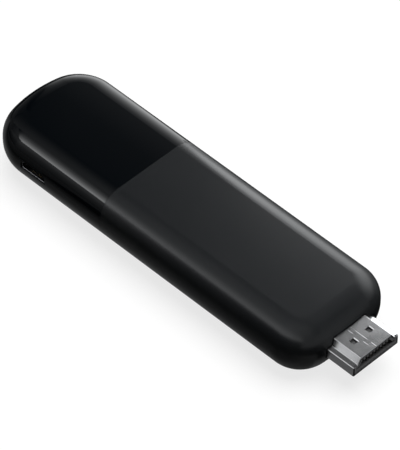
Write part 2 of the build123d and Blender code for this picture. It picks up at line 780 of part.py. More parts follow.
with BuildPart() as lower_heat_spreader:
    add(casing_form(carrier_floor + spreader_gap))
    reach_x = lower_spreader_length / 2
    reach_y = shield_width / 2 - lower_spreader_margin
    block((shield_x - reach_x, -reach_y, 0), (shield_x + reach_x, reach_y, plate_top), Mode.INTERSECT)
    block((shield_x - spreader_foot_length / 2, -spreader_foot_width / 2, casing_wall + spreader_gap),
          (shield_x + spreader_foot_length / 2, spreader_foot_width / 2, plate_top))
    reach_x = lower_shield_length / 2 - pedestal_margin
    reach_y = shield_width / 2 - pedestal_margin
    block((shield_x - reach_x, -reach_y, plate_top), (shield_x + reach_x, reach_y, lower_spreader_top))
lower_heat_spreader.part.label = "lower_heat_spreader"
export_step(lower_heat_spreader.part, "parts/lower_heat_spreader.step")

# Radio module, power parts, timing parts and small passive parts

wireless_x = rear_x + wireless_distance
crystal_x = shield_start_x + crystal_length / 2

with BuildPart() as wireless_module:
    on_board(wireless_length, wireless_width, wireless_board, wireless_x)
    can_length = wireless_length - 2 * wireless_can_margin
    can_width = wireless_width - 2 * wireless_can_margin
    on_board(can_length, can_width, wireless_height, wireless_x)
wireless_module.part.label = "wireless_module"
export_step(wireless_module.part, "parts/wireless_module.step")

with BuildPart() as power_inductors:
    for step in range(inductor_count):
        y = inductor_offset + step * inductor_pitch
        on_board(inductor_size, inductor_size, inductor_height, port_x, 1, y)
    fillet(power_inductors.edges().filter_by(Axis.Z), inductor_corner_radius)
power_inductors.part.label = "power_inductors"
export_step(power_inductors.part, "parts/power_inductors.step")

with BuildPart() as reservoir_capacitors:
    for side in (-1, 1):
        y = side * reservoir_spacing / 2
        on_board(reservoir_length, reservoir_width, reservoir_height, wireless_x, -1, y)
reservoir_capacitors.part.label = "reservoir_capacitors"
export_step(reservoir_capacitors.part, "parts/reservoir_capacitors.step")

with BuildPart() as timing_crystals:
    for side in (-1, 1):
        on_board(crystal_length, crystal_width, crystal_height, crystal_x, -1, side * crystal_spacing / 2)
timing_crystals.part.label = "timing_crystals"
export_step(timing_crystals.part, "parts/timing_crystals.step")

with BuildPart() as chip_capacitors:
    with Locations((port_x + capacitor_offset, capacitor_offset, board_bottom - capacitor_width / 2)):
        with GridLocations(2 * capacitor_length, 2 * capacitor_width, capacitor_columns, capacitor_rows):
            Box(capacitor_length, capacitor_width, capacitor_width)
chip_capacitors.part.label = "chip_capacitors"
export_step(chip_capacitors.part, "parts/chip_capacitors.step")

with BuildPart() as chip_resistors:
    with Locations((power_chip_x + resistor_offset, 0, board_bottom - resistor_height / 2)):
        with GridLocations(2 * resistor_length, 2 * resistor_width, resistor_columns, resistor_rows):
            Box(resistor_length, resistor_width, resistor_height)
chip_resistors.part.label = "chip_resistors"
export_step(chip_resistors.part, "parts/chip_resistors.step")

with BuildPart() as signal_filters:
    with Locations((board_notch_x - contact_foot - filter_setback, 0, board_top + filter_height / 2)):
        with GridLocations(1, filter_pitch, 1, filter_count):
            Box(filter_width, filter_length, filter_height)
signal_filters.part.label = "signal_filters"
export_step(signal_filters.part, "parts/signal_filters.step")

# Antennas: two folded strips that stand on the board at the rear, under the end cap

antenna_x = rear_x + antenna_distance
antenna_level = board_top + solder_gap + antenna_sheet / 2
antenna_crest = board_top + antenna_height
antenna_path = [(antenna_x - antenna_foot, antenna_level), (antenna_x, antenna_level)]
antenna_path += [(antenna_x, antenna_crest), (antenna_x + antenna_top, antenna_crest)]
antenna_strip = contact_strip(antenna_path, antenna_length, antenna_sheet)

with BuildPart() as left_antenna:
    with Locations((0, antenna_spacing / 2, 0)):
        add(antenna_strip)
left_antenna.part.label = "left_antenna"
export_step(left_antenna.part, "parts/left_antenna.step")

with BuildPart() as right_antenna:
    with Locations((0, -antenna_spacing / 2, 0)):
        add(antenna_strip)
right_antenna.part.label = "right_antenna"
export_step(right_antenna.part, "parts/right_antenna.step")
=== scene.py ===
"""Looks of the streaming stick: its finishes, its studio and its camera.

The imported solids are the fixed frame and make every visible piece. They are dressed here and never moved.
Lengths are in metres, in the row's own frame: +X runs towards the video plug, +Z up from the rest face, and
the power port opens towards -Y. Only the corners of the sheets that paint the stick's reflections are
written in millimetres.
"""

import json
import logging
import math
from dataclasses import dataclass, fields
from enum import Enum

import bmesh
import bpy
from mathutils import Matrix, Vector

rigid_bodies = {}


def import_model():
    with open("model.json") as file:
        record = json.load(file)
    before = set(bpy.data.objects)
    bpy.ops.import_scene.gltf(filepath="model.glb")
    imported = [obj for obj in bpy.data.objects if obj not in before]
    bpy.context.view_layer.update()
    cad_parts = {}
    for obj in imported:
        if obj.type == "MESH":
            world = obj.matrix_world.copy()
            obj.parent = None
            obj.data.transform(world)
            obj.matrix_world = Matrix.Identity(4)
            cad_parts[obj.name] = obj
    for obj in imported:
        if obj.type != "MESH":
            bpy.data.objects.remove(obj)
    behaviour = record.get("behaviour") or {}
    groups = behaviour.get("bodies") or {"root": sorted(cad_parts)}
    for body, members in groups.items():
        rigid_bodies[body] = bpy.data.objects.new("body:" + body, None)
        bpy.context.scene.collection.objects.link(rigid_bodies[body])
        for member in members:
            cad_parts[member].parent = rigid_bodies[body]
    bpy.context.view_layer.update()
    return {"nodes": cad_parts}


LOG = logging.getLogger("streaming_stick")
MM = 0.001
OPAQUE = 1.0

# Where a Mix node that blends colours has its share, its two colours and its result
MIX_SHARE = 0
MIX_COLOURS = (6, 7)
MIX_RESULT = 2

Colour = tuple[float, float, float]
Spot = tuple[float, float, float]
Stops = tuple[tuple[float, float], ...]


class Lay(Enum):
    """How a finish's fine relief is stretched along the frame's axes."""

    EVEN = (1.0, 1.0, 1.0)
    ALONG_X = (0.05, 1.0, 1.0)
    ALONG_Y = (1.0, 0.05, 1.0)
    FLOWED = (0.5, 0.8, 1.0)


class Grade(Enum):
    """The frame's axis along which the brightness of a sheet that paints reflections changes, by its number.
    """

    LENGTH = 0
    DEPTH = 1
    HEIGHT = 2


class Pattern(Enum):
    """What a finish shows on its surface besides its fine relief, by the name of its node group."""

    PLAIN = "none"
    SPECKLED = "specks"
    TRACED = "traces"


@dataclass
class Wiring:
    """A node tree, with short ways to place and join its nodes."""

    tree: bpy.types.NodeTree

    def place(self, kind: str, **settings: object) -> bpy.types.Node:
        """Add one node and set its properties.

        Args:
            kind: Blender's type name of the node.
            settings: Properties of the node and their values.

        Returns:
            The new node.
        """
        node = self.tree.nodes.new(kind)
        for name, value in settings.items():
            setattr(node, name, value)
        return node

    def join(self, value: object, socket: bpy.types.NodeSocket) -> None:
        """Link an output to a socket, or set the socket to a plain value.

        Args:
            value: The output socket or the plain value.
            socket: The input that takes it.
        """
        if isinstance(value, bpy.types.NodeSocket):
            self.tree.links.new(value, socket)
        else:
            socket.default_value = value

    def feed(self, node: bpy.types.Node, **values: object) -> None:
        """Set or join a node's inputs, by their names with underscores for spaces.

        Args:
            node: The node whose inputs are set.
            values: A plain value, or the output socket to join, for each input.
        """
        for name, value in values.items():
            self.join(value, node.inputs[name.replace("_", " ")])

    def combine(self, operation: str, first: object, second: object) -> bpy.types.NodeSocket:
        """Combine two values with a Math node.

        Args:
            operation: The Math node's operation.
            first: A number or an output socket.
            second: A number or an output socket.

        Returns:
            The result's socket.
        """
        node = self.place("ShaderNodeMath", operation=operation)
        for value, socket in zip((first, second), node.inputs):
            self.join(value, socket)
        return node.outputs[0]

    def between(self, mask: bpy.types.NodeSocket, low: float, high: float) -> bpy.types.NodeSocket:
        """Spread a mask from 0 to 1 over a range of values.

        Args:
            mask: The mask's socket.
            low: The value where the mask is 0.
            high: The value where the mask is 1.

        Returns:
            The socket with the spread values.
        """
        node = self.place("ShaderNodeMapRange")
        self.feed(node, Value=mask, To_Min=low, To_Max=high)
        return node.outputs["Result"]

    def blend(self, mask: bpy.types.NodeSocket, first: object, second: object) -> bpy.types.NodeSocket:
        """Mix two colours by a mask.

        Args:
            mask: The mask's socket, 0 for the first colour and 1 for the second.
            first: A colour, or a socket that gives one.
            second: A colour, or a socket that gives one.

        Returns:
            The mixed colour's socket.
        """
        node = self.place("ShaderNodeMix", data_type="RGBA")
        self.join(mask, node.inputs[MIX_SHARE])
        for colour, place in zip((first, second), MIX_COLOURS):
            plain = not isinstance(colour, bpy.types.NodeSocket)
            self.join((*colour, OPAQUE) if plain else colour, node.inputs[place])
        return node.outputs[MIX_RESULT]


def new_group(name: str, values: dict[str, float],
              result: str) -> tuple[Wiring, dict[str, bpy.types.NodeSocket], bpy.types.NodeSocket]:
    """Start a shader node group with a Vector input, named values and one output.

    Args:
        name: The group's name.
        values: The value inputs and what each is when left alone.
        result: The name of the output.

    Returns:
        The group's wiring, its input sockets by name, and the socket that takes its result.
    """
    tree = bpy.data.node_groups.new(name, "ShaderNodeTree")
    tree.interface.new_socket(name="Vector", in_out="INPUT", socket_type="NodeSocketVector")
    for label, value in values.items():
        socket = tree.interface.new_socket(name=label, in_out="INPUT", socket_type="NodeSocketFloat")
        socket.default_value = value
    tree.interface.new_socket(name=result, in_out="OUTPUT", socket_type="NodeSocketFloat")
    wiring = Wiring(tree)
    entry = wiring.place("NodeGroupInput")
    close = wiring.place("NodeGroupOutput")
    return wiring, {socket.name: socket for socket in entry.outputs}, close.inputs[result]


def relief_group() -> bpy.types.NodeTree:
    """Make the fine relief that every moulded, cast or drawn surface carries.

    Returns:
        A group that gives a Height from 0 to 1.
    """
    pit_fineness, levelling = 1.7, 0.7
    wiring, given, wanted = new_group("fine_relief", {"Scale": 4000.0, "Pits": 0.3}, "Height")
    noise = wiring.place("ShaderNodeTexNoise")
    wiring.feed(noise, Vector=given["Vector"], Scale=given["Scale"], Detail=3.0, Roughness=0.55)
    pits = wiring.place("ShaderNodeTexVoronoi", feature="SMOOTH_F1")
    wiring.feed(pits, Vector=given["Vector"], Scale=wiring.combine("MULTIPLY", given["Scale"], pit_fineness))
    deep = wiring.combine("MULTIPLY", pits.outputs["Distance"], given["Pits"])
    height = wiring.combine("ADD", noise.outputs["Fac"], deep)
    wiring.join(wiring.combine("MULTIPLY", height, levelling), wanted)
    return wiring.tree


def handling_group() -> bpy.types.NodeTree:
    """Make the soft patches that moulding flow, polish and handling leave.

    Returns:
        A group that gives a Mask from 0 to 1.
    """
    middle = 0.5
    wiring, given, wanted = new_group("handling", {"Scale": 120.0, "Contrast": 2.0}, "Mask")
    noise = wiring.place("ShaderNodeTexNoise")
    wiring.feed(noise, Vector=given["Vector"], Scale=given["Scale"], Detail=5.0, Roughness=0.6)
    wiring.feed(noise, Distortion=0.4)
    centred = wiring.combine("SUBTRACT", noise.outputs["Fac"], middle)
    strong = wiring.combine("MULTIPLY", centred, given["Contrast"])
    clamp = wiring.place("ShaderNodeClamp")
    wiring.feed(clamp, Value=wiring.combine("ADD", strong, middle))
    wiring.join(clamp.outputs[0], wanted)
    return wiring.tree


def speck_group() -> bpy.types.NodeTree:
    """Make small sparse specks, for mineral fillers and bright grains.

    Returns:
        A group that gives a Mask from 0 to 1.
    """
    wiring, given, wanted = new_group("specks", {"Scale": 5000.0, "Share": 0.16}, "Mask")
    cells = wiring.place("ShaderNodeTexVoronoi")
    wiring.feed(cells, Vector=given["Vector"], Scale=given["Scale"])
    wiring.join(wiring.combine("LESS_THAN", cells.outputs["Distance"], given["Share"]), wanted)
    return wiring.tree


def trace_group() -> bpy.types.NodeTree:
    """Make the raised copper runs that show under a board's solder mask.

    Returns:
        A group that gives a Mask from 0 to 1.
    """
    run_spacing = 0.22
    wiring, given, wanted = new_group("copper_runs", {"Scale": 520.0, "Share": 0.1}, "Mask")
    cells = wiring.place("ShaderNodeTexVoronoi", distance="MANHATTAN", feature="F1")
    wiring.feed(cells, Vector=given["Vector"], Scale=given["Scale"], Randomness=0.55)
    folded = wiring.combine("PINGPONG", cells.outputs["Distance"], run_spacing)
    wiring.join(wiring.combine("LESS_THAN", folded, given["Share"]), wanted)
    return wiring.tree


@dataclass(frozen=True)
class Finish:
    """One material of the stick.

    Its colour and its roughness run between two values over patches of patch_size. Its relief is laid on
    Object coordinates: grain_size is the width of one grain and grain_depth its depth. Specks or copper
    runs lie in cells of mark_size and take mark_share of them.
    """

    name: str
    colour: Colour
    second: Colour
    roughness: tuple[float, float]
    metallic: float = 0.0
    specular: float = 0.5
    coat: float = 0.0
    coat_roughness: float = 0.05
    lay: Lay = Lay.EVEN
    pattern: Pattern = Pattern.PLAIN
    grain_size: float = 0.2 * MM
    grain_depth: float = 0.002 * MM
    pits: float = 0.3
    patch_size: float = 8.0 * MM
    patch_contrast: float = 2.0
    mark_size: float = 0.4 * MM
    mark_share: float = 0.16

    def build(self, groups: dict[str, bpy.types.NodeTree]) -> bpy.types.Material:
        """Make the material.

        Args:
            groups: The shared node groups by name.

        Returns:
            The finished material.
        """
        material = bpy.data.materials.new(self.name)
        material.use_nodes = True
        wiring = Wiring(material.node_tree)
        shader = material.node_tree.nodes["Principled BSDF"]
        place = wiring.place("ShaderNodeTexCoord").outputs["Object"]
        stretched = wiring.place("ShaderNodeMapping")
        wiring.feed(stretched, Vector=place, Scale=self.lay.value)
        relief = wiring.place("ShaderNodeGroup", node_tree=groups["relief"])
        wiring.feed(relief, Vector=stretched.outputs[0], Scale=1 / self.grain_size, Pits=self.pits)
        patches = wiring.place("ShaderNodeGroup", node_tree=groups["handling"])
        wiring.feed(patches, Vector=place, Scale=1 / self.patch_size, Contrast=self.patch_contrast)
        mask = patches.outputs["Mask"]
        colour = wiring.blend(mask, self.colour, self.second)
        height = relief.outputs["Height"]
        rough = wiring.between(mask, *self.roughness)
        if self.pattern is not Pattern.PLAIN:
            colour, height = self.mark(wiring, groups, place, colour, height)
        bump = wiring.place("ShaderNodeBump")
        wiring.feed(bump, Height=height, Distance=self.grain_depth, Strength=1.0)
        wiring.feed(shader, Base_Color=colour, Roughness=rough, Normal=bump.outputs[0])
        wiring.feed(shader, Metallic=self.metallic, Specular_IOR_Level=self.specular)
        wiring.feed(shader, Coat_Weight=self.coat, Coat_Roughness=self.coat_roughness)
        return material

    def mark(self, wiring: Wiring, groups: dict[str, bpy.types.NodeTree], place: bpy.types.NodeSocket,
             colour: bpy.types.NodeSocket, height: bpy.types.NodeSocket) -> tuple[bpy.types.NodeSocket, ...]:
        """Lay specks or copper runs over the finish.

        Args:
            wiring: The material's wiring.
            groups: The shared node groups by name.
            place: The socket of the Object coordinates.
            colour: The colour so far.
            height: The relief so far.

        Returns:
            The colour's and the relief's sockets with the marks on them.
        """
        marks = wiring.place("ShaderNodeGroup", node_tree=groups[self.pattern.value])
        wiring.feed(marks, Vector=place, Scale=1 / self.mark_size, Share=self.mark_share)
        mask = marks.outputs["Mask"]
        if self.pattern is Pattern.TRACED:
            height = wiring.combine("ADD", height, mask)
        return wiring.blend(mask, colour, self.second), height


FINISHES = (
    Finish("casing_matte", (0.0086, 0.0097, 0.0107), (0.0096, 0.0107, 0.0117), (0.25, 0.27),
           grain_size=0.16 * MM, grain_depth=0.0016 * MM, pits=0.5, patch_size=20 * MM),
    Finish("casing_gloss", (0.0009, 0.0016, 0.0024), (0.0011, 0.0018, 0.0027), (0.055, 0.065),
           grain_size=2.5 * MM, grain_depth=0.0006 * MM, pits=0.0, patch_size=14 * MM,
           patch_contrast=1.4),
    Finish("plug_steel", (0.74, 0.74, 0.75), (0.8, 0.8, 0.81), (0.2, 0.24), metallic=1.0,
           lay=Lay.ALONG_X, grain_size=0.06 * MM, grain_depth=0.0004 * MM, patch_size=2.2 * MM),
    Finish("black_moulding", (0.06, 0.06, 0.062), (0.074, 0.074, 0.076), (0.42, 0.52),
           grain_size=0.09 * MM, grain_depth=0.003 * MM, patch_size=2 * MM),
    Finish("contact_gold", (0.78, 0.53, 0.21), (0.85, 0.61, 0.29), (0.16, 0.24), metallic=1.0,
           lay=Lay.ALONG_X, grain_size=0.03 * MM, grain_depth=0.0003 * MM, patch_size=0.6 * MM),
    Finish("tinned_steel", (0.56, 0.57, 0.57), (0.66, 0.66, 0.65), (0.3, 0.42), metallic=1.0,
           lay=Lay.ALONG_Y, grain_size=0.07 * MM, grain_depth=0.0006 * MM, patch_size=3 * MM),
    Finish("dark_nickel", (0.16, 0.16, 0.17), (0.22, 0.22, 0.23), (0.26, 0.34), metallic=1.0,
           lay=Lay.ALONG_X, grain_size=0.05 * MM, grain_depth=0.0004 * MM, patch_size=2 * MM),
    Finish("board_laminate", (0.006, 0.028, 0.016), (0.016, 0.062, 0.034), (0.22, 0.3), coat=0.4,
           coat_roughness=0.12, pattern=Pattern.TRACED, grain_size=0.3 * MM, grain_depth=0.004 * MM,
           patch_size=5 * MM, mark_size=1.9 * MM, mark_share=0.07),
    Finish("chip_resin", (0.018, 0.018, 0.019), (0.05, 0.05, 0.052), (0.5, 0.62),
           pattern=Pattern.SPECKLED, grain_size=0.08 * MM, grain_depth=0.003 * MM,
           patch_size=2.5 * MM, patch_contrast=0.6, mark_size=0.12 * MM),
    Finish("thermal_gel", (0.2, 0.27, 0.34), (0.26, 0.33, 0.4), (0.55, 0.7), lay=Lay.FLOWED,
           pattern=Pattern.SPECKLED, grain_size=0.5 * MM, grain_depth=0.02 * MM,
           patch_size=3 * MM, mark_size=0.25 * MM),
    Finish("spreader_aluminium", (0.5, 0.51, 0.52), (0.6, 0.61, 0.62), (0.34, 0.46), metallic=1.0,
           lay=Lay.FLOWED, grain_size=0.25 * MM, grain_depth=0.004 * MM, patch_size=6 * MM),
    Finish("ferrite", (0.035, 0.034, 0.034), (0.06, 0.058, 0.056), (0.45, 0.6),
           pattern=Pattern.SPECKLED, grain_size=0.12 * MM, grain_depth=0.006 * MM,
           patch_size=1.5 * MM, mark_size=0.2 * MM),
    Finish("capacitor_body", (0.2, 0.13, 0.075), (0.27, 0.18, 0.1), (0.35, 0.45),
           grain_size=0.1 * MM, grain_depth=0.003 * MM, patch_size=0.7 * MM),
    Finish("antenna_bronze", (0.62, 0.4, 0.2), (0.7, 0.48, 0.26), (0.26, 0.36), metallic=1.0,
           lay=Lay.ALONG_Y, grain_size=0.06 * MM, grain_depth=0.0005 * MM, patch_size=1.5 * MM),
)


class FinishBook:
    """The stick's materials, built once and given out by the name of their finish."""

    def __init__(self) -> None:
        """Build the shared groups and every finish."""
        groups = {"relief": relief_group(), "handling": handling_group()}
        groups |= {"specks": speck_group(), "traces": trace_group()}
        self.materials = {finish.name: finish.build(groups) for finish in FINISHES}

    def dress(self, piece: bpy.types.Object, finish: str) -> None:
        """Give every material slot of a piece the finish of that name."""
        for slot in piece.material_slots:
            slot.material = self.materials[finish]


@dataclass
class SubAssembly:
    """Nodes that are fitted together: each field is a node's name, and its value the finish it wears."""

    def dress(self, nodes: dict[str, bpy.types.Object], book: FinishBook) -> None:
        """Give every node of the sub-assembly its finish.

        Args:
            nodes: The stick's nodes by name.
            book: The stick's finishes.
        """
        for node in fields(self):
            finish = getattr(self, node.name)
            book.dress(nodes[node.name], finish)
            LOG.info("%s: %s wears %s", type(self).__name__, node.name, finish)


@dataclass
class Casing(SubAssembly):
    """The long matte sleeve and the gloss cap that closes its rear."""

    main_sleeve: str = "casing_matte"
    end_cap: str = "casing_gloss"


@dataclass
class VideoPlug(SubAssembly):
    """The folded shell with its moulding, both rows of contacts and the bracket that anchors it."""

    plug_shell: str = "plug_steel"
    plug_insulator: str = "black_moulding"
    plug_bracket: str = "tinned_steel"
    plug_lower_contacts: str = "contact_gold"
    plug_upper_contacts: str = "contact_gold"


@dataclass
class PowerReceptacle(SubAssembly):
    """The sunk shell behind the port, with its tongue and contacts."""

    receptacle_shell: str = "dark_nickel"
    receptacle_tongue: str = "black_moulding"
    receptacle_contacts: str = "contact_gold"


@dataclass
class Board(SubAssembly):
    """The main board with its chips, module, passive parts and antennas."""

    main_board: str = "board_laminate"
    main_processor: str = "chip_resin"
    memory_chip: str = "chip_resin"
    storage_chip: str = "chip_resin"
    power_chip: str = "chip_resin"
    wireless_module: str = "tinned_steel"
    power_inductors: str = "ferrite"
    reservoir_capacitors: str = "capacitor_body"
    timing_crystals: str = "tinned_steel"
    chip_capacitors: str = "capacitor_body"
    chip_resistors: str = "chip_resin"
    signal_filters: str = "ferrite"
    left_antenna: str = "antenna_bronze"
    right_antenna: str = "antenna_bronze"


@dataclass
class HeatPath(SubAssembly):
    """The pads, shields and spreaders that lead the chips' heat to the casing."""

    upper_thermal_pads: str = "thermal_gel"
    lower_thermal_pads: str = "thermal_gel"
    upper_shield_frame: str = "tinned_steel"
    upper_shield_lid: str = "tinned_steel"
    lower_shield_frame: str = "tinned_steel"
    lower_shield_lid: str = "tinned_steel"
    upper_heat_spreader: str = "spreader_aluminium"
    lower_heat_spreader: str = "spreader_aluminium"


@dataclass
class Carrier(SubAssembly):
    """The moulded carrier under the board, with its screws."""

    board_carrier: str = "black_moulding"
    carrier_screws: str = "tinned_steel"


@dataclass
class Viewpoint:
    """The photograph's camera, as worked out from the casing's outline, its seam and the plug.

    The angles are in degrees. focal_pixels and frame_height are in pixels of the photograph, and sensor is
    in Blender's millimetres.
    """

    azimuth: float = 44.06
    elevation: float = 46.62
    roll: float = 1.04
    distance: float = 932.3 * MM
    aim: Spot = (-3.75 * MM, 0.0, 7.5 * MM)
    shift_right: float = 3.01 * MM
    shift_up: float = -1.44 * MM
    focal_pixels: float = 4255.0
    frame_height: float = 450.0
    sensor: float = 36.0
    nearest: float = 0.01
    farthest: float = 60.0

    def build(self) -> None:
        """Make the camera and give it to the scene."""
        turn, lift, lean = (math.radians(angle) for angle in (self.azimuth, self.elevation, self.roll))
        back = Vector((math.sin(turn) * math.cos(lift), -math.cos(turn) * math.cos(lift), math.sin(lift)))
        level = Vector((math.cos(turn), math.sin(turn), 0.0))
        rise = back.cross(level)
        right = level * math.cos(lean) + rise * math.sin(lean)
        up = rise * math.cos(lean) - level * math.sin(lean)
        spot = Vector(self.aim) + right * self.shift_right + up * self.shift_up + back * self.distance
        data = bpy.data.cameras.new("viewpoint")
        data.sensor_width = self.sensor
        data.lens = self.focal_pixels / self.frame_height * self.sensor
        data.clip_start, data.clip_end = self.nearest, self.farthest
        camera = bpy.data.objects.new("viewpoint", data)
        axes = Matrix((right, up, back)).transposed().to_4x4()
        camera.matrix_world = Matrix.Translation(spot) @ axes
        bpy.context.scene.collection.objects.link(camera)
        bpy.context.scene.camera = camera


@dataclass
class PaintedReflection:
    """A flat glowing sheet, seen only in the stick's gloss, that lights nothing and casts no shadow: a
    painted reflection, a painted highlight where it is bright and a painted dark or shaded reflection where
    it is dim.

    Its corners are in millimetres. Its brightness follows one axis between its lowest and highest corner
    there, by stops of a share of that way and a strength. It may fade along its length as well, by stops of
    a share and a factor. It serves the nodes that it names, or all of them where it names none.
    """

    title: str
    corners: tuple[Spot, ...]
    stops: Stops
    grade: Grade = Grade.HEIGHT
    fade: Stops = ()
    serves: tuple[str, ...] = ()
    tint: Colour = (0.985, 1.0, 1.01)
    hidden_from: tuple[str, ...] = ("camera", "diffuse", "transmission", "volume_scatter", "shadow")

    def build(self, nodes: dict[str, bpy.types.Object]) -> None:
        """Make the sheet with its material, which paints a reflection into the gloss.

        Args:
            nodes: The stick's nodes by name.
        """
        mesh = bpy.data.meshes.new(self.title)
        shape = bmesh.new()
        shape.faces.new([shape.verts.new([value * MM for value in corner]) for corner in self.corners])
        shape.to_mesh(mesh)
        shape.free()
        piece = bpy.data.objects.new(self.title, mesh)
        bpy.context.scene.collection.objects.link(piece)
        mesh.materials.append(self.glow())
        for sight in self.hidden_from:
            setattr(piece, f"visible_{sight}", False)
        if self.serves:
            served = bpy.data.collections.new(f"{self.title}_serves")
            for name in self.serves:
                served.objects.link(nodes[name])
            piece.light_linking.receiver_collection = served

    def glow(self) -> bpy.types.Material:
        """Make the sheet's glow, a painted reflection graded along its axis.

        Returns:
            The material.
        """
        top = max(strength for _, strength in self.stops)
        material = bpy.data.materials.new(self.title)
        material.use_nodes = True
        material.node_tree.nodes.clear()
        wiring = Wiring(material.node_tree)
        parts = wiring.place("ShaderNodeSeparateXYZ")
        wiring.feed(parts, Vector=wiring.place("ShaderNodeTexCoord").outputs["Object"])
        shares = tuple((where, strength / top) for where, strength in self.stops)
        shade = self.ramp(wiring, parts, self.grade, shares)
        if self.fade:
            shade = wiring.combine("MULTIPLY", shade, self.ramp(wiring, parts, Grade.LENGTH, self.fade))
        light = wiring.place("ShaderNodeEmission")
        wiring.feed(light, Color=(*self.tint, OPAQUE), Strength=wiring.combine("MULTIPLY", shade, top))
        wiring.feed(wiring.place("ShaderNodeOutputMaterial"), Surface=light.outputs[0])
        return material

    def ramp(self, wiring: Wiring, parts: bpy.types.Node, axis: Grade, stops: Stops) -> bpy.types.NodeSocket:
        """Grade a value along one axis of the sheet.

        Args:
            wiring: The material's wiring.
            parts: The node that gives the place along each axis.
            axis: The axis.
            stops: Shares of the way along the axis, with the value at each.

        Returns:
            The graded value's socket.
        """
        places = [corner[axis.value] * MM for corner in self.corners]
        share = wiring.place("ShaderNodeMapRange")
        wiring.feed(share, Value=parts.outputs[axis.value], From_Min=min(places), From_Max=max(places))
        ramp = wiring.place("ShaderNodeValToRGB")
        wiring.feed(ramp, Fac=share.outputs["Result"])
        while len(ramp.color_ramp.elements) < len(stops):
            ramp.color_ramp.elements.new(0.5)
        for element, (where, value) in zip(ramp.color_ramp.elements, stops):
            element.position = where
            element.color = (value, value, value, OPAQUE)
        return ramp.outputs["Color"]


@dataclass
class Studio:
    """The pale floor, the soft overhead light, the white room, and the sheets round the stick that paint
    highlights and dark reflections into its gloss.
    """

    floor_radius: float = 8.0
    floor_sides: int = 96
    floor_colour: Colour = (0.22, 0.22, 0.22)
    floor_glow: float = 0.78
    lamp_height: float = 3.0
    lamp_setback: float = 0.9
    lamp_size: float = 3.6
    lamp_power: float = 150.0
    room_colour: Colour = (1.0, 1.0, 1.0)
    room_light: float = 0.012
    room_white: float = 1.0
    panels: tuple[PaintedReflection, ...] = ()

    def build(self, nodes: dict[str, bpy.types.Object]) -> None:
        """Make the floor, the lamp, the world and the sheets that paint the stick's reflections.

        Args:
            nodes: The stick's nodes by name.
        """
        self.build_floor()
        self.build_lamp()
        self.build_world()
        for painted_sheet in self.panels:
            painted_sheet.build(nodes)
            LOG.info("studio: %s stands", painted_sheet.title)

    def build_floor(self) -> None:
        """Make the round floor, pale to the camera and in gloss, with the stick's shadow on it."""
        mesh = bpy.data.meshes.new("studio_floor")
        shape = bmesh.new()
        bmesh.ops.create_circle(shape, cap_ends=True, segments=self.floor_sides, radius=self.floor_radius)
        shape.to_mesh(mesh)
        shape.free()
        floor = bpy.data.objects.new("studio_floor", mesh)
        bpy.context.scene.collection.objects.link(floor)
        material = bpy.data.materials.new("studio_floor")
        material.use_nodes = True
        wiring = Wiring(material.node_tree)
        shader = material.node_tree.nodes["Principled BSDF"]
        wiring.feed(shader, Base_Color=(*self.floor_colour, OPAQUE), Roughness=1.0, Specular_IOR_Level=0.0)
        glow = wiring.place("ShaderNodeEmission")
        wiring.feed(glow, Strength=wiring.between(self.in_sight(wiring), 0.0, self.floor_glow))
        both = wiring.place("ShaderNodeAddShader")
        for light, socket in zip((shader, glow), both.inputs):
            wiring.join(light.outputs[0], socket)
        wiring.feed(material.node_tree.nodes["Material Output"], Surface=both.outputs[0])
        mesh.materials.append(material)

    def in_sight(self, wiring: Wiring) -> bpy.types.NodeSocket:
        """Tell the rays that see a thing, straight or in gloss or glass, from those that it lights.

        Args:
            wiring: The wiring of the material or the world.

        Returns:
            A socket that is 1 for the seeing rays and 0 for the rest.
        """
        sight = wiring.place("ShaderNodeLightPath").outputs
        seen = wiring.combine("MAXIMUM", sight["Is Camera Ray"], sight["Is Glossy Ray"])
        return wiring.combine("MAXIMUM", seen, sight["Is Transmission Ray"])

    def build_lamp(self) -> None:
        """Hang the broad soft lamp overhead."""
        data = bpy.data.lights.new("overhead_softbox", "AREA")
        data.shape = "DISK"
        data.size = self.lamp_size
        data.energy = self.lamp_power
        lamp = bpy.data.objects.new("overhead_softbox", data)
        lamp.location = (0.0, self.lamp_setback, self.lamp_height)
        lamp.visible_glossy = False
        bpy.context.scene.collection.objects.link(lamp)

    def build_world(self) -> None:
        """Give the room its even, dim light, and its white walls to the camera and in gloss."""
        world = bpy.data.worlds.new("room")
        world.use_nodes = True
        wiring = Wiring(world.node_tree)
        tone = world.node_tree.nodes["Background"]
        white = wiring.between(self.in_sight(wiring), self.room_light, self.room_white)
        wiring.feed(tone, Color=(*self.room_colour, OPAQUE), Strength=white)
        bpy.context.scene.world = world


def sheet(low: Spot, high: Spot) -> tuple[Spot, ...]:
    """Give the corners of a flat sheet between two opposite corners.

    Its lower edge is level. It runs along Y where both corners have the same X, and otherwise along X.

    Args:
        low: The corner where the lower edge starts.
        high: The opposite corner.

    Returns:
        The four corners, in order round the sheet.
    """
    if low[0] == high[0]:
        return low, (low[0], high[1], low[2]), high, (low[0], low[1], high[2])
    return low, (high[0], low[1], low[2]), high, (low[0], high[1], high[2])


# Lines across the stick that several of the sheets painting its reflections share, in millimetres: the
# planes of the far and the near upright sheets, the far edge of the near sheets' upper part, and the near
# edge of the painted shaded floor and its far one, which lies under the stick
FAR_SHEETS, NEAR_SHEETS = 80, -200
HOOD_EDGE, APRON_EDGE, UNDER_EDGE = -60, -30, -9

# Lines along the stick, in millimetres: the front end of the upright sheets, the line just past the plug,
# the places where one sheet of a row ends and the next begins, and the reach of the painted ground
FRONT_END, NOSE_LINE = 400, 54
FAR_SPLIT, NEAR_SPLIT, SKIRT_SPLIT = -55, -135, -100
GROUND_REACH = 6000

# Levels in millimetres: the painted dark ground and the painted patches on it, the foot of the upright
# sheets, and the bend below the near sheets' upper part
GROUND, PATCH, KERB, FOOT = 0.3, 0.6, 0.9, 0.5
BEND, FAR_TOP = 129, 160
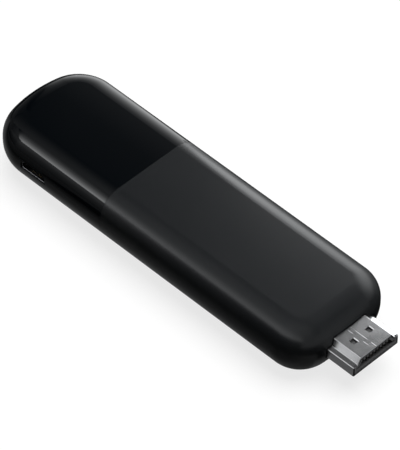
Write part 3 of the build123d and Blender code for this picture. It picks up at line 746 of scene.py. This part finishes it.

# Sheets seen only in the stick's gloss, lighting nothing: each paints a highlight, a dark reflection or a
# shaded reflection
PAINTED_REFLECTIONS = (
    # painted highlight along the gloss cap's far edge, dark above it
    PaintedReflection("far_cap_painted_highlight", sheet((-220, FAR_SHEETS, FOOT), (FAR_SPLIT, FAR_SHEETS, FAR_TOP)),
          ((0.0, 2.0), (0.11, 1.95), (0.2, 1.55), (0.31, 1.05), (0.43, 0.67), (0.57, 0.38), (0.74, 0.13),
           (0.8, 0.06), (1.0, 0.02)),
          fade=((0.2, 0.04), (0.4, 0.5), (0.58, 1.0), (1.0, 1.0))),
    # painted highlight along the matte sleeve's far edge
    PaintedReflection("far_sleeve_painted_highlight", sheet((FAR_SPLIT, FAR_SHEETS, FOOT), (140, FAR_SHEETS, FAR_TOP)),
          ((0.0, 0.4), (0.09, 0.9), (0.175, 3.2), (0.28, 4.3), (0.44, 4.3), (0.575, 2.1), (0.675, 0.35),
           (0.75, 0.04), (1.0, 0.02)),
          fade=((0.0, 1.0), (0.12, 0.93), (0.2, 0.82), (0.28, 0.68), (0.47, 0.5), (0.57, 0.38),
                (0.74, 0.13), (1.0, 0.03))),
    # painted highlight along the gloss cap's near edge, with a sharp lower edge
    PaintedReflection("near_cap_painted_highlight", ((NEAR_SPLIT, NEAR_SHEETS, BEND), (NEAR_SPLIT, HOOD_EDGE, 274),
                           (-370, HOOD_EDGE, 274), (-231, -174.9, 155), (-205, -187.4, 142),
                           (-165, NEAR_SHEETS, BEND)),
          ((0.0, 4.4), (0.22, 2.06), (0.41, 0.85), (0.61, 0.35), (0.84, 0.18), (1.0, 0.1)),
          fade=((0.0, 0.1), (0.24, 0.14), (0.39, 0.2), (0.51, 0.36), (0.63, 0.65), (0.74, 0.85),
                (0.83, 1.0), (1.0, 1.0))),
    # painted dim glow reflected round the cap's near rear corner
    PaintedReflection("rear_cap_painted_glow", sheet((-625, -201, BEND), (NEAR_SPLIT, HOOD_EDGE, 275)),
          ((0.0, 0.24), (1.0, 0.17)), fade=((0.0, 0.3), (0.45, 0.55), (0.66, 0.85), (0.76, 1.0))),
    # painted highlight along the matte sleeve's near edge
    PaintedReflection("near_sleeve_painted_highlight", sheet((NEAR_SPLIT, NEAR_SHEETS, BEND), (FRONT_END, HOOD_EDGE, 274)),
          ((0.0, 1.6), (0.22, 1.25), (0.41, 0.8), (0.61, 0.5), (0.84, 0.3), (1.0, 0.2)),
          fade=((0.0, 1.0), (0.33, 1.0), (0.45, 0.8), (0.74, 0.5), (1.0, 0.25))),
    # painted dim reflection in the cap's near side, below its highlight
    PaintedReflection("near_side_painted_reflection", sheet((-625, NEAR_SHEETS, FOOT), (SKIRT_SPLIT, NEAR_SHEETS, 129.5)),
          ((0.0, 0.1), (0.19, 0.14), (0.46, 0.22), (0.74, 0.45), (1.0, 0.6)),
          fade=((0.0, 0.25), (0.33, 0.3), (0.62, 0.42), (0.79, 0.5), (0.85, 0.85), (0.96, 1.0),
                (1.0, 0.3))),
    # painted dark reflection in the sleeve's near side
    PaintedReflection("near_side_painted_dark", sheet((SKIRT_SPLIT, NEAR_SHEETS, FOOT), (FRONT_END, NEAR_SHEETS, BEND)),
          ((0.0, 0.02), (1.0, 0.03))),
    # painted dark reflection at the rear end
    PaintedReflection("rear_end_painted_dark", sheet((-620, -250, FOOT), (-620, 900, 500)), ((0.0, 0.08), (1.0, 0.06))),
    # painted reflection of shaded floor under the stick's near side, darker away from it
    PaintedReflection("apron_painted_shade", sheet((-GROUND_REACH, APRON_EDGE, GROUND), (GROUND_REACH, UNDER_EDGE, GROUND)),
          ((0.0, 0.02), (0.14, 0.04), (0.33, 0.06), (0.48, 0.09), (0.57, 0.12), (0.64, 0.16),
           (0.76, 0.18), (1.0, 0.2)), grade=Grade.DEPTH,
          fade=((0.0, 1.0), (0.50167, 1.0), (0.5039, 0.7), (0.5045, 0.4), (1.0, 0.4))),
    # painted dark floor in reflections on the near side, over the lit floor
    PaintedReflection("near_ground_painted_dark", sheet((-GROUND_REACH, -GROUND_REACH, GROUND), (GROUND_REACH, APRON_EDGE, GROUND)),
          ((0.0, 0.01), (1.0, 0.01)), grade=Grade.DEPTH),
    # painted shaded floor in reflections under and behind the stick's far side
    PaintedReflection("behind_ground_painted_shade", sheet((-GROUND_REACH, UNDER_EDGE, GROUND), (GROUND_REACH, FAR_SHEETS, GROUND)),
          ((0.0, 0.2), (0.1, 0.08), (0.21, 0.02), (0.27, 0.01), (0.36, 0.02), (0.43, 0.03), (0.63, 0.13),
           (1.0, 0.4)), grade=Grade.DEPTH),
    # painted dim floor in reflections beyond the far sheets
    PaintedReflection("distant_ground_painted_dim", sheet((-GROUND_REACH, FAR_SHEETS, GROUND), (GROUND_REACH, GROUND_REACH, GROUND)),
          ((0.0, 0.08), (1.0, 0.08)), grade=Grade.DEPTH),
    # painted bright floor reflection behind the cap, the lower part of its far highlight
    PaintedReflection("behind_patch_painted_highlight", sheet((-150, 12, PATCH), (-34, FAR_SHEETS, PATCH)),
          ((0.0, 0.01), (0.15, 0.03), (0.25, 0.12), (0.38, 0.4), (0.51, 0.85), (0.7, 1.4), (1.0, 1.9)),
          grade=Grade.DEPTH,
          fade=((0.0, 0.0), (0.39, 0.05), (0.53, 0.5), (0.65, 1.0), (0.84, 1.0), (1.0, 0.25))),
    # painted dark floor in reflections in front of the plug
    PaintedReflection("front_ground_painted_dark", sheet((NOSE_LINE, HOOD_EDGE, PATCH), (FRONT_END, UNDER_EDGE, PATCH)),
          ((0.0, 0.01), (1.0, 0.01)), grade=Grade.LENGTH),
    # painted dim floor in reflections past the plug
    PaintedReflection("front_ground_painted_dim", sheet((NOSE_LINE, UNDER_EDGE, PATCH), (FRONT_END, 200, PATCH)),
          ((0.0, 0.06), (0.3, 0.1), (1.0, 0.12)), grade=Grade.LENGTH),
    # painted glow reflected in the front end
    PaintedReflection("front_painted_glow", sheet((250, NEAR_SHEETS, FOOT), (250, 400, 300)),
          ((0.0, 0.34), (0.3, 0.3), (0.6, 0.22), (1.0, 0.18))),
    # painted overhead reflection, lifting the top along the stick
    PaintedReflection("overhead_painted_reflection", sheet((-600, HOOD_EDGE, 150), (FRONT_END, 250, 150)),
          ((0.0, 0.05), (0.49, 0.03), (0.54, 0.03), (0.57, 0.08), (0.61, 0.2), (0.664, 0.22), (1.0, 0.18)),
          grade=Grade.LENGTH),
    # painted overhead reflection on the near side of the top
    PaintedReflection("overhead_near_painted_reflection", sheet((-600, HOOD_EDGE, 149), (FRONT_END, 60, 149)),
          ((0.0, 0.4), (0.1, 0.38), (0.3, 0.3), (0.52, 0.2), (0.71, 0.12), (1.0, 0.05)), grade=Grade.DEPTH,
          fade=((0.0, 0.3), (0.4, 0.45), (0.49, 0.62), (0.525, 1.0), (0.65, 1.0), (1.0, 0.6))),
    # painted dim floor reflection on the near side by the cap
    PaintedReflection("near_ground_painted_dim", sheet((-190, -150, PATCH), (-45, APRON_EDGE, PATCH)),
          ((0.0, 0.12), (0.55, 0.1), (0.95, 0.06), (1.0, 0.04)), grade=Grade.DEPTH),
    # painted highlight seen only on the plug's shell and moulding
    PaintedReflection("plug_painted_highlight", sheet((20, APRON_EDGE, 5), (42, APRON_EDGE, 21)),
          ((0.0, 0.6), (1.0, 0.6)), serves=("plug_shell", "plug_insulator")),
    # painted dim floor reflection below the plug's near side
    PaintedReflection("plug_painted_dim_reflection", sheet((38, -14, KERB), (50, UNDER_EDGE, KERB)),
          ((0.0, 0.1), (1.0, 0.1)), grade=Grade.DEPTH),
    # painted highlight seen only in the plug's moulding
    PaintedReflection("insulator_painted_highlight", sheet((49, UNDER_EDGE, KERB), (62, 16, KERB)),
          ((0.0, 0.6), (1.0, 0.6)), grade=Grade.LENGTH, serves=("plug_insulator",)),
)


def clear_scene() -> None:
    """Remove what Blender starts with."""
    for item in list(bpy.data.objects):
        bpy.data.objects.remove(item)


def main() -> None:
    """Load the frame, dress every sub-assembly, and set the studio and the camera."""
    logging.basicConfig(level=logging.INFO, format="%(message)s")
    clear_scene()
    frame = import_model()
    bpy.context.scene.view_settings.view_transform = "Standard"
    Viewpoint().build()
    book = FinishBook()
    for part in (Casing(), VideoPlug(), PowerReceptacle(), Board(), HeatPath(), Carrier()):
        part.dress(frame["nodes"], book)
    Studio(panels=PAINTED_REFLECTIONS).build(frame["nodes"])


if __name__ == "__main__":
    main()
